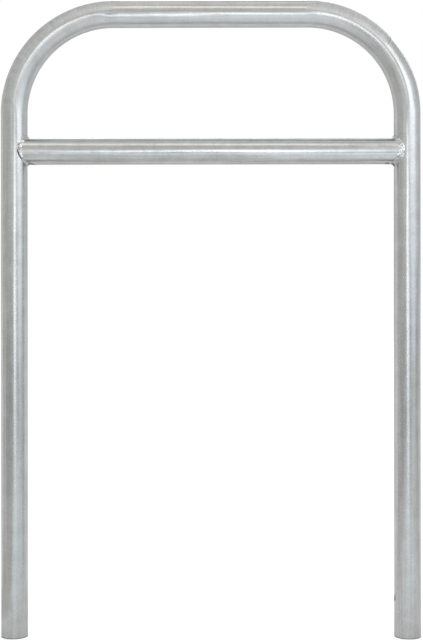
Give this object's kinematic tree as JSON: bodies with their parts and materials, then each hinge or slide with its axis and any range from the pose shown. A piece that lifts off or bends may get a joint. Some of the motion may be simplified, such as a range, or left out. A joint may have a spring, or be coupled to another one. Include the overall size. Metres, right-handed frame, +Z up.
{
  "type": "hoop bike rack",
  "caption": "Bent steel tube hoop with a welded cross rail, galvanised, for leaning and locking a bicycle; plain open legs to be set in concrete.",
  "frame": {"origin": "halfway between the two sawn foot ends, on the plane they stand on", "axes": "+Z up the legs to the top of the hoop, +X to the right leg as seen from the front, front towards -Y"},
  "size_m": [0.76, 0.0496, 1.15],
  "materials": {
    "galvanised_tube": "hot-dip galvanised, dull silver grey",
    "galvanised_weld": "hot-dip galvanised weld bead"
  },
  "bodies": {
    "root": {"hoop_tube": "galvanised_tube", "cross_rail": "galvanised_tube", "weld_left": "galvanised_weld", "weld_right": "galvanised_weld"}
  },
  "joints": []
}
